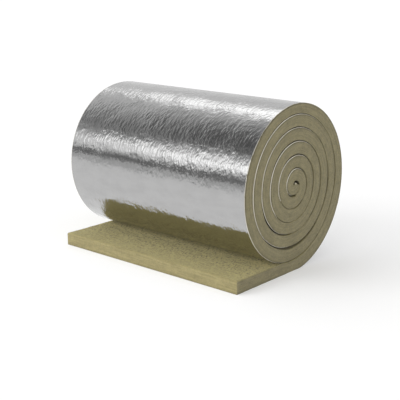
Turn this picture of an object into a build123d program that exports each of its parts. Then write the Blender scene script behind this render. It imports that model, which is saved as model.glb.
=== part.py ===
"""Roll of foil-faced mineral wool mat, lying on its side with its outer end unrolled as a flap.

The mat is one long strip: a wool blanket with a thin foil facing bonded to the side that ends up
outside. Both follow one winding, which is drawn as a section across the roll and carried along X.
The turns stand apart where they show, at the two ends of the roll. Between the ends, where they
press together out of sight, the roll is one body of wool round its bore, with the foil outside.

Frame: +X along the roll, +Y away from the flap, +Z up. The origin is on the floor, at the middle of
the part's length and width.
"""

import os
from math import acos, asin, degrees, radians, sin, sqrt

from build123d import *

# The mat, in millimetres
MAT_WIDTH = 1000.0  # along the roll
MAT_THICKNESS = 53.0  # wool and facing together
FACING_THICKNESS = 0.2  # reinforced aluminium foil

# The winding
FULL_TURNS = 6  # whole turns between the flap and the start of the mat
TURN_GAP = 0.8  # air between the facing of one turn and the wool outside it
END_SLIT_DEPTH = 12.0  # how far in from each end the turns stand apart
EYE_RADIUS = 3.5  # tightest bend of the wool, round the eye at the middle of the roll
START_BULGE = 11.5  # how far the squeezed start of the mat swells up into the eye
SETTLE = 6.0  # how far the roll has sunk into the mat that it lies on
SETTLE_BLEND_RADIUS = 150.0  # bend from the flattened underside into the roll's own curve

# The unrolled end
FLAP_LENGTH = 365.0  # from the roll's lowest line to the cut end

# The winding is made of quarter circles. Their centres go round the corners of a small square, so
# each one meets the next smoothly and every turn lies one pitch inside the turn before it.
QUARTERS_IN_TURN = 4
QUARTER_ANGLE = 360.0 / QUARTERS_IN_TURN
LOWEST_ANGLE = 270.0  # where a turn passes the bottom of the roll

pitch = MAT_THICKNESS + TURN_GAP
quarter_step = pitch / QUARTERS_IN_TURN  # how much smaller each quarter's radius is
quarters = FULL_TURNS * QUARTERS_IN_TURN
first_radius = EYE_RADIUS + MAT_THICKNESS + quarter_step * (quarters - 1)

# Where the winding sits: the part reaches as far to -Y as to +Y.
axis_y = (FLAP_LENGTH - first_radius) / 2
axis_z = first_radius - SETTLE
flap_end_y = axis_y - FLAP_LENGTH
eye_floor_z = axis_z + quarter_step - EYE_RADIUS

# The roll dents the flap under it, from the nip, where the flap still has its full thickness.
dent_radius = first_radius + quarter_step - MAT_THICKNESS
dent_angle = degrees(acos(1 - SETTLE / dent_radius))
nip_y = axis_y - dent_radius * sin(radians(dent_angle))


def quarter_centre(quarter):
    """Centre of a quarter turn's arc, as (y, z). Quarter 0 rises from the floor towards +Y."""
    corner = quarter % QUARTERS_IN_TURN
    y_shift = quarter_step if corner in (1, 2) else 0
    z_shift = quarter_step if corner in (2, 3) else 0
    return axis_y + y_shift, axis_z + z_shift


def quarter_arc(quarter, depth, skip_start=0.0, sweep=QUARTER_ANGLE):
    """The arc of one quarter turn, at a depth below the mat's outer face.

    It leaves out the first skip_start degrees of the quarter and turns on to sweep degrees.
    """
    radius = first_radius - quarter_step * quarter - depth
    start = LOWEST_ANGLE + QUARTER_ANGLE * quarter + skip_start
    return CenterArc(quarter_centre(quarter), radius, start % 360.0, sweep - skip_start)


def underside_path(depth):
    """The mat's outer side at a depth: along the floor and up the first quarter of the roll."""
    # The flattened underside bends into the first quarter by an arc that is tangent to both.
    blend_drop = first_radius - SETTLE_BLEND_RADIUS
    blend_run = sqrt(blend_drop**2 - (blend_drop - SETTLE) ** 2)
    blend_angle = degrees(asin(blend_run / blend_drop))
    blend_centre = (axis_y + blend_run, SETTLE_BLEND_RADIUS)
    underside = Line((flap_end_y, depth), (axis_y + blend_run, depth))
    blend = CenterArc(blend_centre, SETTLE_BLEND_RADIUS - depth, LOWEST_ANGLE, blend_angle)
    return [underside, blend, quarter_arc(0, depth, skip_start=blend_angle)]


def exposed_path(depth):
    """The mat's outer side as far as it shows: along the floor and round the roll to the nip."""
    round_the_roll = [quarter_arc(quarter, depth) for quarter in range(1, QUARTERS_IN_TURN - 1)]
    down_to_nip = quarter_arc(QUARTERS_IN_TURN - 1, depth, sweep=QUARTER_ANGLE - dent_angle)
    return [*underside_path(depth), *round_the_roll, down_to_nip]


def outer_path(depth):
    """The whole of the mat's outer side: along the floor, round every turn and in to the eye."""
    turns = [quarter_arc(quarter, depth) for quarter in range(1, quarters)]
    # The start of the mat is squeezed against the turn round it, up to the floor of the eye.
    start_radius = first_radius - quarter_step * quarters - depth
    start_sweep = QUARTER_ANGLE + degrees(asin((eye_floor_z - axis_z) / start_radius))
    start = quarter_arc(quarters, depth, sweep=start_sweep)
    return [*underside_path(depth), *turns, start]


def flap_top():
    """The top of the flap, from its cut end to the nip."""
    return Line((flap_end_y, MAT_THICKNESS), (nip_y, MAT_THICKNESS))


def inner_path():
    """The mat's inner side: along the top of the flap, round the inside of each turn, to the eye."""
    dent = quarter_arc(-1, MAT_THICKNESS, skip_start=QUARTER_ANGLE - dent_angle)
    turns = [quarter_arc(quarter, MAT_THICKNESS) for quarter in range(quarters)]
    return [flap_top(), dent, *turns]


def mat_start():
    """The cut start of the mat, which swells up into the eye."""
    inside = inner_path()[-1] @ 1
    outside = outer_path(FACING_THICKNESS)[-1] @ 1
    return SagittaArc(inside, outside, START_BULGE)


def section(outside, inside, end=None):
    """Closed face between two sides that start at the flap's end, as (y, z)."""
    start = Line(outside[0] @ 0, inside[0] @ 0)
    end = end or Line(outside[-1] @ 1, inside[-1] @ 1)
    return make_face([*outside, end, *inside, start])


def eye_section():
    """The bore: the space that the innermost turn leaves over the start of the mat."""
    right = quarters - 3  # the quarter that rises from the eye's floor on its +Y side
    right_radius = first_radius - quarter_step * right - MAT_THICKNESS
    floor_angle = degrees(asin((eye_floor_z - axis_z) / right_radius))
    sides = [quarter_arc(right, MAT_THICKNESS, skip_start=floor_angle)]
    sides += [quarter_arc(quarter, MAT_THICKNESS) for quarter in range(right + 1, quarters)]
    floor = mat_start()
    return make_face([*sides, floor, Line(floor @ 1, sides[0] @ 0)])


def along_roll(face, start, length):
    """A solid with that section, from a place along the roll."""
    return extrude(Plane.YZ.offset(start) * face, length, dir=(1, 0, 0))


def roll_body(middle, ends):
    """One solid with the section of the middle, and another section over the depth of its ends."""
    half = MAT_WIDTH / 2
    near_end = along_roll(ends, half - END_SLIT_DEPTH, END_SLIT_DEPTH)
    far_end = along_roll(ends, -half, END_SLIT_DEPTH)
    return along_roll(middle, END_SLIT_DEPTH - half, MAT_WIDTH - 2 * END_SLIT_DEPTH) + near_end + far_end


def build_wool_mat():
    """The wool blanket, from the facing inwards."""
    middle = section(exposed_path(FACING_THICKNESS), [flap_top()]) - eye_section()
    return roll_body(middle, section(outer_path(FACING_THICKNESS), inner_path(), mat_start()))


def build_foil_facing():
    """The foil bonded to the outer side of the blanket, whose edges wind in with the turns."""
    middle = section(exposed_path(0), exposed_path(FACING_THICKNESS))
    return roll_body(middle, section(outer_path(0), outer_path(FACING_THICKNESS)))


os.makedirs("parts", exist_ok=True)
for node, solid in (("wool_mat", build_wool_mat()), ("foil_facing", build_foil_facing())):
    solid.label = node
    export_step(solid, f"parts/{node}.step")
    print(node, "volume", round(solid.volume), "mm3, size", solid.bounding_box().size)
mat_length = sum(edge.length for edge in outer_path(0))
print("mat length along its foil, flap included", round(mat_length), "mm")
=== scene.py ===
"""Looks of a roll of foil-faced mineral wool mat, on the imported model's frame.

The mat is one strip: a wool blanket with a thin foil facing. Both follow one winding, from the flap on
the floor, round every turn and in to the eye. Lengths are in metres, and angles along the winding are in
degrees from the roll's lowest line. +X is along the roll, +Y away from the flap and +Z up.
"""

import bpy
import numpy as np
from bpy.props import FloatProperty, FloatVectorProperty, IntProperty, PointerProperty
from bpy.types import Operator, Panel, PropertyGroup
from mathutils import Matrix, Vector


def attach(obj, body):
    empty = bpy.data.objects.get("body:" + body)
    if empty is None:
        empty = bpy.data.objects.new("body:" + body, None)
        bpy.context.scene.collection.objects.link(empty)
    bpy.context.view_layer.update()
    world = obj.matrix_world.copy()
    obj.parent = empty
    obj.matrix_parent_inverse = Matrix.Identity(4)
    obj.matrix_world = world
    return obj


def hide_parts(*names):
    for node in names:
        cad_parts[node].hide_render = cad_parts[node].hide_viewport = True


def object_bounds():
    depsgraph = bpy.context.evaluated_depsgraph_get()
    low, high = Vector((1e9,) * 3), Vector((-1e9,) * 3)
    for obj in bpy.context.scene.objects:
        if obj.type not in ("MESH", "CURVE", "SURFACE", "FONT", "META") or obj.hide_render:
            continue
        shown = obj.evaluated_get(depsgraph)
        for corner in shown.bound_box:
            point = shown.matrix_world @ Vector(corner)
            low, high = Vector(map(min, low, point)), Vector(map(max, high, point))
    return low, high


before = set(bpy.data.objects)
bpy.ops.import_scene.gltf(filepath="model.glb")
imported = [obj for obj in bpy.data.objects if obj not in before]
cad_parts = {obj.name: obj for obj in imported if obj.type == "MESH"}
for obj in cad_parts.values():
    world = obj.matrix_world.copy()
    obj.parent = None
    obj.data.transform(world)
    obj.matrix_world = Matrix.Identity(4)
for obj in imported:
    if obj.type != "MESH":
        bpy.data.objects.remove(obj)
cad_low, cad_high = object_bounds()

bl_info = {
    "name": "Insulation roll",
    "version": (1, 0, 0),
    "blender": (4, 5, 0),
    "location": "3D View > Sidebar > Insulation",
    "description": "Foil-faced mineral wool mat, wound in a roll with its outer end as a flap",
    "category": "Object",
}


# Settings


def number_setting(name, description, default, **more):
    """A number that a user can change."""
    return FloatProperty(name=name, description=description, default=default, **more)


def length_setting(name, description, default):
    """A length that a user can change."""
    return number_setting(name, description, default, unit="LENGTH")


def colour_setting(name, description, default):
    """A colour that a user can change."""
    return FloatVectorProperty(name=name, description=description, default=default, subtype="COLOR")


def place_setting(name, description, default):
    """A place that a user can change."""
    kind = {"subtype": "TRANSLATION", "unit": "LENGTH"}
    return FloatVectorProperty(name=name, description=description, default=default, **kind)


class MatSettings(PropertyGroup):
    """Sizes of the mat and of its winding."""

    width: length_setting("Width", "Width of the mat, along the roll", cad_high.x - cad_low.x)
    thickness: length_setting("Thickness", "Wool and facing together", 0.053)
    turn_gap: length_setting(
        "Turn gap", "Air between the facing of one turn and the wool outside it", 0.0008
    )
    turns: IntProperty(
        name="Turns", description="Whole turns between the flap and the start of the mat", default=6
    )
    eye_radius: length_setting(
        "Eye radius", "Tightest bend of the wool, round the eye at the middle of the roll", 0.0035
    )
    start_hump: length_setting(
        "Start hump", "How far the squeezed start of the mat swells up into the eye", 0.0089
    )
    settle: length_setting("Settle", "How far the roll has sunk into the mat that it lies on", 0.006)
    settle_blend: length_setting(
        "Settle blend", "Radius of the bend from the flattened underside into the roll's own curve", 0.15
    )
    flap_length: length_setting("Flap length", "From the roll's lowest line to the cut end", 0.365)


class WoolSettings(PropertyGroup):
    """Finish of the mineral wool."""

    # The top, cut end and edge colours are one wool: their difference in brightness is painted light and
    # shade, set by which way each face looks.
    top_colour: colour_setting("Top colour", "Wool on the mat's open side", (0.372, 0.321, 0.132))
    front_colour: colour_setting(
        "Cut end colour", "Wool on the fresh cut at the end of the flap", (0.272, 0.235, 0.114)
    )
    edge_colour: colour_setting(
        "Edge colour", "Wool on the mat's long edges, which are the ends of the roll", (0.256, 0.226, 0.128)
    )
    # A pale colour painted on the hump in the eye as a highlight
    eye_highlight_colour: colour_setting(
        "Eye highlight colour", "Painted highlight on the start of the mat, in the eye", (0.80, 0.75, 0.56)
    )
    loft: length_setting("Loft", "How far the wool swells up at the cut end of the flap", 0.0020)
    groove_depth: length_setting(
        "Groove depth", "How far in the turns stand apart at the ends of the roll", 0.014
    )
    shoulder: length_setting("Shoulder", "Rounding of the flap's upper edges", 0.0030)
    groove_width: length_setting(
        "Groove width",
        "How far the wool draws back from the turn inside it, at the ends of the roll",
        0.0024,
    )
    groove_round: length_setting(
        "Groove rounding",
        "How much rounder the turns are beside the grooves, on the side away from the flap",
        0.0055,
    )
    relief_height: length_setting("Relief height", "How far tufts stand out of the wool", 0.0007)
    relief_grain: length_setting("Relief grain", "Size of the tufts", 0.012)
    strand_density: number_setting(
        "Loose strands", "Loose fibres for each square metre of open wool", 5500.0
    )
    strand_length: length_setting("Strand length", "Usual length of a loose fibre", 0.011)
    strand_radius: length_setting(
        "Strand radius", "Radius of a loose fibre or bundle of fibres", 0.00015
    )


class FoilSettings(PropertyGroup):
    """Finish of the foil facing."""

    colour: colour_setting("Colour", "Bare aluminium of the facing", (0.42, 0.42, 0.418))
    edge_colour: colour_setting(
        "Edge colour", "Scuffed edges of the facing, where its backing shows", (0.74, 0.70, 0.60)
    )
    thickness: length_setting("Thickness", "Foil with its backing", 0.0003)
    edge_depth: length_setting("Edge depth", "How far in the foil's edge shows between the turns", 0.013)
    edge_curl: length_setting(
        "Edge curl", "How far the foil's edge curls in over the wool between the turns", 0.0022
    )
    edge_stand: length_setting(
        "Edge stand",
        "How far the foil's edge stands out between the turns, at the upper left of the roll",
        0.0015,
    )
    edge_sink: length_setting(
        "Edge sink",
        "How far the foil's edge lies back between the turns, at the lower right of the roll",
        0.0045,
    )
    rim_curl: length_setting(
        "Rim curl", "How far the open sheet curls in over the wool at the ends of the roll", 0.0009
    )
    edge_fray: length_setting("Edge fray", "How uneven the cut edge of the foil is", 0.0008)
    crinkle_height: length_setting(
        "Crinkle height", "Height of the foil's soft crinkles over the wool", 0.0005
    )
    crinkle_width: length_setting("Crinkle width", "Size of a crinkle along the roll", 0.03)
    crinkle_length: length_setting("Crinkle length", "Size of a crinkle round the roll", 0.06)
    columns: IntProperty(name="Columns", description="Divisions of the foil along the roll", default=180)


class StageSettings(PropertyGroup):
    """Floor, light and camera."""

    floor_size: length_setting("Floor size", "Side of the floor", 160.0)
    dome_level: number_setting("Dome level", "Brightness of the light from all round", 0.78)
    dome_lean: number_setting(
        "Dome lean", "How much brighter the light is from the left of the picture", 0.55
    )
    dome_rise: number_setting("Dome rise", "How much brighter the light is from above", 0.35)
    key_power: number_setting("Key power", "Strength of the large soft light at the front left", 1.75)
    key_spread: number_setting(
        "Key spread",
        "How wide the large soft light looks from the object",
        0.75,
        subtype="ANGLE",
        unit="ROTATION",
    )
    key_place: place_setting(
        "Key place", "Where the large soft light stands, as seen from the object", (-2.3, -3.0, 1.1)
    )
    camera_place: place_setting("Camera place", "Where the camera stands", (2.600, -3.010, 1.288))
    camera_aim: place_setting(
        "Camera aim", "Point at the middle of the picture", (-0.0079, -0.0023, 0.2237)
    )
    camera_lens: number_setting("Camera lens", "Focal length, in millimetres", 82.53)


# Building nodes


class Flow:
    """What comes out of a node. A sum on it makes the node for that sum, in the same tree."""

    def __init__(self, socket):
        self.socket = socket
        self.tree = socket.id_data

    def __add__(self, other):
        return calc("ADD", self, other)

    def __sub__(self, other):
        return calc("SUBTRACT", self, other)

    def __rsub__(self, other):
        return calc("SUBTRACT", other, self)

    def __mul__(self, other):
        return calc("MULTIPLY", self, other)

    def __truediv__(self, other):
        return calc("DIVIDE", self, other)

    def __rtruediv__(self, other):
        return calc("DIVIDE", other, self)

    def __abs__(self):
        return calc("ABSOLUTE", self)


def plug(node, inputs):
    """Fills a node's inputs with constants or with what comes out of other nodes."""
    for key, value in inputs.items():
        named = [socket for socket in node.inputs if socket.name == key and socket.enabled]
        socket = node.inputs[key] if isinstance(key, int) else named[0]
        if isinstance(value, Flow):
            value.tree.links.new(value.socket, socket)
        else:
            socket.default_value = value


def put(tree, kind, inputs=None, **settings):
    """A new node with its settings and its inputs."""
    node = tree.nodes.new(kind)
    for name, value in settings.items():
        setattr(node, name, value)
    plug(node, inputs or {})
    return node


def flow(tree, kind, inputs=None, output=None, **settings):
    """What comes out of a new node, at the named output or at the first one in use."""
    node = put(tree, kind, inputs, **settings)
    return Flow(next(socket for socket in node.outputs if socket.enabled and output in (None, socket.name)))


def calc(operation, *values, kind="ShaderNodeMath"):
    """The result of a sum on numbers."""
    tree = next(value.tree for value in values if isinstance(value, Flow))
    return flow(tree, kind, dict(enumerate(values)), operation=operation)


def vector_calc(operation, *values):
    """The result of a sum on vectors."""
    return calc(operation, *values, kind="ShaderNodeVectorMath")


def scaled(vector, scale):
    """A vector or a colour times a number."""
    return flow(vector.tree, "ShaderNodeVectorMath", {0: vector, "Scale": scale}, operation="SCALE")


def vector_of(tree, x=0.0, y=0.0, z=0.0):
    """A vector made of three numbers."""
    return flow(tree, "ShaderNodeCombineXYZ", {"X": x, "Y": y, "Z": z})


def parts(vector):
    """The three numbers in a vector."""
    return [Flow(socket) for socket in put(vector.tree, "ShaderNodeSeparateXYZ", {0: vector}).outputs]


def ramp(value, low, high, to_low=0.0, to_high=1.0):
    """A value carried smoothly from one range to another, and held at both ends."""
    inputs = {"Value": value, "From Min": low, "From Max": high, "To Min": to_low, "To Max": to_high}
    return flow(value.tree, "ShaderNodeMapRange", inputs, interpolation_type="SMOOTHSTEP")


def noise(place, scale, detail=2.0, roughness=0.5, twist=0.0):
    """Noise of about 0.5 at a place, with features of about one over the scale."""
    inputs = {"Vector": place, "Scale": scale, "Detail": detail, "Roughness": roughness, "Distortion": twist}
    return flow(place.tree, "ShaderNodeTexNoise", inputs)


def mix(factor, first, second):
    """Two colours mixed by a factor."""
    return flow(factor.tree, "ShaderNodeMix", {"Factor": factor, "A": first, "B": second}, data_type="RGBA")


def colour4(colour, share=1.0):
    """A share of a colour setting, with its alpha."""
    return (*(Vector(colour) * share), 1.0)


def grey(level):
    """A colour without a hue."""
    return (level, level, level, 1.0)


def new_tree(name, kind, inputs, outputs):
    """A node group with named sockets, what comes into it, and the node that takes its results."""
    tree = bpy.data.node_groups.new(name, kind)
    for direction, sockets in (("INPUT", inputs), ("OUTPUT", outputs)):
        for label, socket in sockets.items():
            tree.interface.new_socket(label, in_out=direction, socket_type="NodeSocket" + socket)
    given = {socket.name: Flow(socket) for socket in tree.nodes.new("NodeGroupInput").outputs}
    return tree, given, tree.nodes.new("NodeGroupOutput")


def new_material(name):
    """A material with a Principled shader, its node tree and the shader."""
    material = bpy.data.materials.new(name)
    material.use_nodes = True
    tree = material.node_tree
    tree.nodes.clear()
    shader = tree.nodes.new("ShaderNodeBsdfPrincipled")
    put(tree, "ShaderNodeOutputMaterial", {"Surface": Flow(shader.outputs[0])})
    return material, tree, shader


# Geometry trees

GEOMETRY = {"Geometry": "Geometry"}
SHARP_CORNER = 0.8  # radians


def add_object(name, data):
    """A new object in the scene, at the origin."""
    made = bpy.data.objects.new(name, data)
    bpy.context.scene.collection.objects.link(made)
    return made


def run_tree(piece, tree, values):
    """Runs a geometry tree on a piece with values for its named inputs, and keeps the plain mesh."""
    modifier = piece.modifiers.new(tree.name, "NODES")
    modifier.node_group = tree
    for socket in tree.interface.items_tree:
        if socket.in_out == "INPUT" and socket.name in values:
            modifier[socket.identifier] = values[socket.name]
    graph = bpy.context.evaluated_depsgraph_get()
    made = piece.evaluated_get(graph)
    mesh = bpy.data.meshes.new_from_object(made, preserve_all_data_layers=True, depsgraph=graph)
    mesh.name = piece.name
    for slot in reversed([at for at, material in enumerate(mesh.materials) if material is None]):
        mesh.materials.pop(index=slot)
    piece.modifiers.remove(modifier)
    old = piece.data
    piece.data = mesh
    bpy.data.meshes.remove(old)


def attribute(tree, name):
    """A number stored on the mesh."""
    return flow(tree, "GeometryNodeInputNamedAttribute", {"Name": name}, data_type="FLOAT")


def stored(geometry, name, value, kind="FLOAT", domain="POINT"):
    """Geometry with a value stored on it."""
    inputs = {"Geometry": geometry, "Name": name, "Value": value}
    return flow(geometry.tree, "GeometryNodeStoreNamedAttribute", inputs, data_type=kind, domain=domain)


def moved(geometry, **inputs):
    """Geometry with its points at a new Position, or moved by an Offset."""
    return flow(geometry.tree, "GeometryNodeSetPosition", {"Geometry": geometry, **inputs})


def swept(curve, profile):
    """A closed tube along a curve."""
    inputs = {"Curve": curve, "Profile Curve": profile, "Fill Caps": True}
    return flow(curve.tree, "GeometryNodeCurveToMesh", inputs)


def realized(geometry):
    """Geometry with its instances made real."""
    return flow(geometry.tree, "GeometryNodeRealizeInstances", {"Geometry": geometry})


def smooth_but_sharp_edges(geometry):
    """Smooth shading that stops at edges with a clear corner."""
    kind = "GeometryNodeSetShadeSmooth"
    smooth = flow(geometry.tree, kind, {"Geometry": geometry, "Shade Smooth": True})
    bend = flow(geometry.tree, "GeometryNodeInputMeshEdgeAngle", output="Unsigned Angle")
    corner = calc("GREATER_THAN", bend, SHARP_CORNER)
    inputs = {"Geometry": smooth, "Selection": corner, "Shade Smooth": False}
    return flow(geometry.tree, kind, inputs, domain="EDGE")


def end_tree(solid, given, result):
    """Gives the solid its material and hands it out."""
    inputs = {"Geometry": solid, "Material": given["Material"]}
    plug(result, {"Geometry": flow(solid.tree, "GeometryNodeSetMaterial", inputs)})


# The winding

QUARTER = 90.0
TURN = 360.0
STATIONS_IN_TURN = 300
STATION_STEP = TURN / STATIONS_IN_TURN
MILLIMETRE = 0.001
NUDGE = 1e-6  # steps or degrees, against rounding
BLEND_REACH = 0.1  # less than the radius of the underside's bend, for points beyond that bend

# How far in each groove lies from the true winding, in millimetres: a row for each turn from the second
# one on, with a place every 30 degrees from its lowest line
GROOVE_PLACES_STEP = 30.0
GROOVE_PLACES_BLEND = 21.0  # degrees over which a place runs into the next
GROOVE_PLACES = (
    1, 7, 6, 2, 0, -5, -10, -8, -5, -2, 2, 8,
    13, 10.5, 7.5, 5, 2, -3, -10, -7, -4, 2, 8, 11,
    13, 12, 10.5, 9, 3, -3, -6.5, -3.5, -2, 2, 5, 7.5,
    10, 11, 8.5, 8, 2.5, -2.5, -1, -1, 0.5, 4, 9, 11,
    12.5, 8.5, 6, 3, 3.5, 1, -0.5, 0.5, 3.5, 8, 12.5, 14.5,
    14, 10.5, 6, 0, -1.5, -2, -2.5, -1.5, -0.5, 1, 1.5, 2, 2.5,
)

# How wide the grooves are along the winding: angle, and share of the usual width
GROOVE_WIDTHS = (
    (349, 0.15), (390, 0.08), (420, 0.1), (450, 1.4), (480, 0.05), (510, 0.1), (540, 0.9), (570, 0.8),
    (600, 0.5), (640, 0.38), (665, 0.36), (690, 1.4), (720, 3.2), (745, 2.2), (780, 0.7), (810, 2.0),
    (840, 0.3), (870, 0.02), (900, 1.1), (930, 1.3), (960, 0.8), (990, 0.6), (1020, 2.7), (1055, 2.2),
    (1080, 0.02), (1110, 0.02), (1140, 0.8), (1170, 2.0), (1200, 1.6), (1230, 0.5), (1260, 1.1),
    (1290, 1.0), (1350, 0.6), (1380, 0.38), (1410, 0.2), (1440, 0.02), (1500, 0.02), (1530, 0.5),
    (1560, 1.6), (1590, 1.2), (1620, 1.6), (1650, 1.2), (1680, 0.5), (1700, 0.36), (1730, 0.3),
    (1770, 0.2), (1800, 0.12), (1830, 0.6), (1860, 0.1), (1890, 1.6), (1920, 1.6), (1950, 1.2),
    (1980, 1.2), (2010, 1.1), (2040, 0.7), (2070, 0.36), (2100, 0.8), (2130, 2.2), (2160, 2.2),
    (2200, 2.6),
)
FULL_GROOVE = 0.4  # share of the usual width from which a groove has its full depth

# Small waves along the winding: height, waves in a radian, and where they start
RIPPLES = ((0.0003, 5.7, 1.1), (0.00015, 13.3, 0.0))
RIPPLE_FADE = 400.0  # degrees over which the ripples die out towards the eye
PROUD_WAVES = ((0.0007, 0.61, 1.0), (0.0005, 1.9, 0.0))
PROUD_FROM = 60.0  # degrees, where the turns begin to stand out unevenly
PROUD_GROWTH = 200.0  # degrees over which that grows

# Angles along the winding, in degrees
UPPER_LEFT = 215.0  # where a turn faces up and over the flap
WOBBLE_GROWTH = 15.0  # over which the turns leave their true place, past the open foil
SQUEEZE = 60.0  # over which the innermost turn narrows towards the start of the mat
CLOSED_PAST_START = 32.0  # near the eye the turns press together, and no groove shows
CLOSING = 16.0  # over which the grooves close there

# The eye: how far the start of the mat fills its lower corner, the place and reach of the hump as shares of
# the start's length, and the place of the painted highlight from the hump's top, with its size
EYE_FILL = np.array((-0.0022, 0.0034))
HUMP_PLACE = 0.48
HUMP_REACH = 0.20
EYE_HIGHLIGHT_PLACE = np.array((-0.0030, -0.0024))
EYE_HIGHLIGHT_SIZE = (0.0060, 0.0052)


def eased(value):
    """A smooth rise from 0 to 1 as a value goes from 0 to 1."""
    value = np.clip(value, 0, 1)
    return value * value * (3 - 2 * value)


def waves(angle, table):
    """The sum of small waves along the winding."""
    return sum(height * np.sin(rate * np.radians(angle) + shift) for height, rate, shift in table)


class Winding:
    """Where the mat runs, as points across the roll.

    The winding is made of quarter circles whose centres go round the corners of a small square, so each
    one meets the next smoothly and every turn lies one pitch inside the turn before it.
    """

    def __init__(self, mat):
        self.thickness = mat.thickness
        self.step = (mat.thickness + mat.turn_gap) / 4
        self.quarters = 4 * mat.turns
        self.first_radius = mat.eye_radius + mat.thickness + self.step * (self.quarters - 1)
        self.axis_y = (mat.flap_length - self.first_radius) / 2
        self.axis_z = self.first_radius - mat.settle
        self.flap_end = self.axis_y - mat.flap_length
        # The roll dents the flap under it, from the nip, where the flap has its full thickness.
        dent_radius = self.first_radius + self.step - mat.thickness
        self.nip = -np.degrees(np.arccos(1 - mat.settle / dent_radius))
        # The flattened underside bends into the first quarter.
        self.blend_radius = mat.settle_blend
        drop = self.first_radius - mat.settle_blend
        run = np.sqrt(drop**2 - (drop - mat.settle) ** 2)
        self.blend_y = self.axis_y + run
        self.blend_end = np.degrees(np.arcsin(run / drop))
        # The squeezed start of the mat ends at the height of the eye's floor.
        start_radius = self.first_radius - self.step * self.quarters
        rise = np.degrees(np.arcsin((self.step - mat.eye_radius) / start_radius))
        self.start = QUARTER * self.quarters
        self.end = self.start + QUARTER + rise
        self.start_hump = mat.start_hump
        self.closed = self.start + CLOSED_PAST_START

    def angles(self, first, last):
        """Angles of the stations from one angle to another, in whole steps from the nip."""
        low = int(np.ceil((first - self.nip) / STATION_STEP - NUDGE))
        high = int(np.floor((last - self.nip) / STATION_STEP + NUDGE))
        return self.nip + STATION_STEP * np.arange(low, high + 1)

    def last(self):
        """Angle of the last station."""
        return self.angles(self.start, self.end)[-1]

    def wobble(self, angle):
        """How far in each turn lies from its true place, from the last of the open foil onwards."""
        places = TURN + GROOVE_PLACES_STEP * np.arange(len(GROOVE_PLACES))
        held = np.clip(angle, places[0], places[-1])
        weights = np.exp(-(((held[:, None] - places) / GROOVE_PLACES_BLEND) ** 2))
        smooth = MILLIMETRE * (weights @ GROOVE_PLACES) / weights.sum(axis=1)
        ripple = waves(angle, RIPPLES) * np.clip((self.end - angle) / RIPPLE_FADE, 0, 1)
        return (smooth + ripple) * eased((angle - self.nip - TURN) / WOBBLE_GROWTH)

    def opening(self, angle):
        """How wide the groove outside a turn is, as a share of the usual width."""
        return np.interp(angle, *np.transpose(GROOVE_WIDTHS))

    def proud(self, angle):
        """How far a turn stands out at the ends of the roll."""
        return waves(angle, PROUD_WAVES) * np.clip((angle - PROUD_FROM) / PROUD_GROWTH, 0, 1)

    def parted(self, angle):
        """How far the turns stand apart outside a turn: 1 for a full groove, and 0 near the eye."""
        before_eye = np.clip((self.closed - angle) / CLOSING + 0.5, 0, 1)
        return before_eye * np.clip(self.opening(angle) / FULL_GROOVE, 0, 1)

    def upper_left(self, angle):
        """1 where a turn faces up and over the flap, falling to 0 on the other side of the roll."""
        return 0.5 + 0.5 * np.cos(np.radians(angle - UPPER_LEFT))

    def foil_stand(self, angle, foil):
        """How far the foil's edge stands out of the end of the roll between the turns."""
        return (foil.edge_stand + foil.edge_sink) * self.upper_left(angle) - foil.edge_sink

    def circle(self, angle, depth):
        """Points at a depth below the mat's outer side, each on the circle of its quarter."""
        quarter = np.minimum(np.floor(angle / QUARTER), self.quarters)
        corner = quarter % 4
        radius = self.first_radius - self.step * quarter - depth
        turned = np.radians(angle - QUARTER)
        y = self.axis_y + self.step * np.isin(corner, (1, 2)) + radius * np.cos(turned)
        z = self.axis_z + self.step * np.isin(corner, (2, 3)) + radius * np.sin(turned)
        return np.stack((y, z), axis=-1)

    def outer(self, angle, depth=0.0):
        """Points on the mat's outer side, or at a depth below it."""
        points = self.circle(angle, depth + self.wobble(angle))
        run = np.clip(points[:, 0] - self.blend_y, 0, BLEND_REACH)
        flat = self.blend_radius - np.sqrt((self.blend_radius - depth) ** 2 - run**2)
        points[:, 1] = np.where(angle < self.blend_end, flat, points[:, 1])
        return points

    def inner(self, angle):
        """Points on the mat's inner side, and on the hump of its start."""
        points = self.circle(angle, self.thickness + self.wobble(angle + TURN))
        low = np.minimum(points[:, 1], self.thickness)
        points[:, 1] = np.where(angle < 0, low, points[:, 1])
        just_before = np.array((self.start - NUDGE,))
        inside = self.circle(just_before, self.thickness + self.wobble(just_before + TURN))[0] + EYE_FILL
        squeezed = np.clip((angle - self.start) / SQUEEZE + 1, 0, 1) * (angle < self.start)
        points = points + (inside - points) * squeezed[:, None]
        outside = self.outer(np.array((self.end,)))[0]
        share = np.clip((angle - self.start) / (self.last() - self.start), 0, 1)
        hump = self.start_hump * np.exp(-(((share - HUMP_PLACE) / HUMP_REACH) ** 2))
        bulge = inside + np.outer(share, outside - inside) + np.outer(hump, (0, 1))
        return np.where((angle >= self.start)[:, None], bulge, points)

    def hump_top(self):
        """The highest point of the hump in the eye."""
        return self.inner(np.array((self.start + HUMP_PLACE * (self.end - self.start),)))[0]

    def groove_floor(self, angle):
        """Points midway between a turn's outer side and the turn outside it."""
        return (self.outer(angle) + self.inner(angle - TURN)) / 2


# The wool's shape

FACE_TOP = 0.0
FACE_EDGE = 1.0
WELD = 1e-5  # points in the same cell of this size are made one
WELD_SHIFT = 3.3e-6  # keeps the cells' walls off round numbers
TOP_COLUMNS = 200
WOOL_BED = 0.0004  # from the mat's outer side to the wool
HIDDEN_BED = 0.0013  # the same where the foil hides the wool
HIDDEN_DEPTH = 0.003  # from the end of the roll to the wool that the foil hides

# Stations along the flap, from its cut end: the nearest ones, and where the even ones start
CUT_STATIONS = (0, 0.0005, 0.0016, 0.004, 0.009)
EVEN_STATIONS_FROM = 0.016
EVEN_STATIONS = 42
LOFT_REACH = 0.2  # how far from the cut end the wool swells up
LEAN_REACH = 0.03  # how far from the cut end the flap follows its lean

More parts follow.
